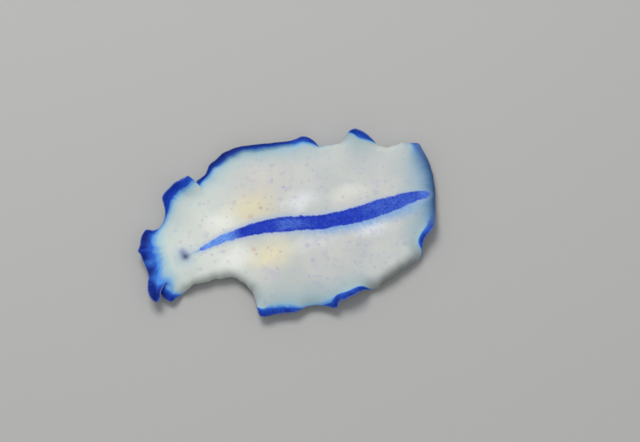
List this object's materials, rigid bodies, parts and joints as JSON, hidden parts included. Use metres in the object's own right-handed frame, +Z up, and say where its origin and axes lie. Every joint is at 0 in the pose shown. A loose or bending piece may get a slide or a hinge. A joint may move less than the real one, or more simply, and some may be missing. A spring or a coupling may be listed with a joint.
{
  "type": "polyclad flatworm model",
  "caption": "Life-size still model of a ruffled marine flatworm: white oval leaf body, blue median stripe, deep blue frilled margin, folded pseudotentacles.",
  "frame": {"origin": "bottom centre of the bounding box, on the floor that the sole rests on", "axes": "+X from head to tail along the body, +Y to the animal's right side, +Z up from the sole to the back"},
  "size_m": [0.0306, 0.0184, 0.0028],
  "materials": {
    "skin_white": "matte, soft skin",
    "skin_pale_blue": "matte, thin translucent skin",
    "rim_blue": "matte, soft skin",
    "stripe_blue": "matte, finely speckled skin",
    "eyespot_dark": "satin"
  },
  "bodies": {
    "root": {"head": "skin_white", "rim_head": "rim_blue", "median_stripe": "stripe_blue", "flank_left_front": "skin_white", "flank_left_rear": "skin_white", "tail_left": "skin_pale_blue", "pseudotentacle_left": "rim_blue", "bay_left": "skin_pale_blue", "tail_corner_left": "skin_pale_blue", "frill_left_front": "skin_pale_blue", "rim_left_front": "rim_blue", "frill_left_middle": "skin_pale_blue", "rim_left_middle": "rim_blue", "frill_left_rear": "skin_pale_blue", "rim_left_rear": "rim_blue", "flank_right_front": "skin_white", "flank_right_rear": "skin_white", "tail_right": "skin_pale_blue", "pseudotentacle_right": "rim_blue", "bay_right": "skin_pale_blue", "tail_corner_right": "skin_pale_blue", "frill_right_front": "skin_pale_blue", "rim_right_front": "rim_blue", "frill_right_middle": "skin_pale_blue", "rim_right_middle": "rim_blue", "frill_right_rear": "skin_pale_blue", "rim_right_rear": "rim_blue", "rim_tail": "skin_pale_blue", "eyespot_cluster": "eyespot_dark"}
  },
  "joints": []
}
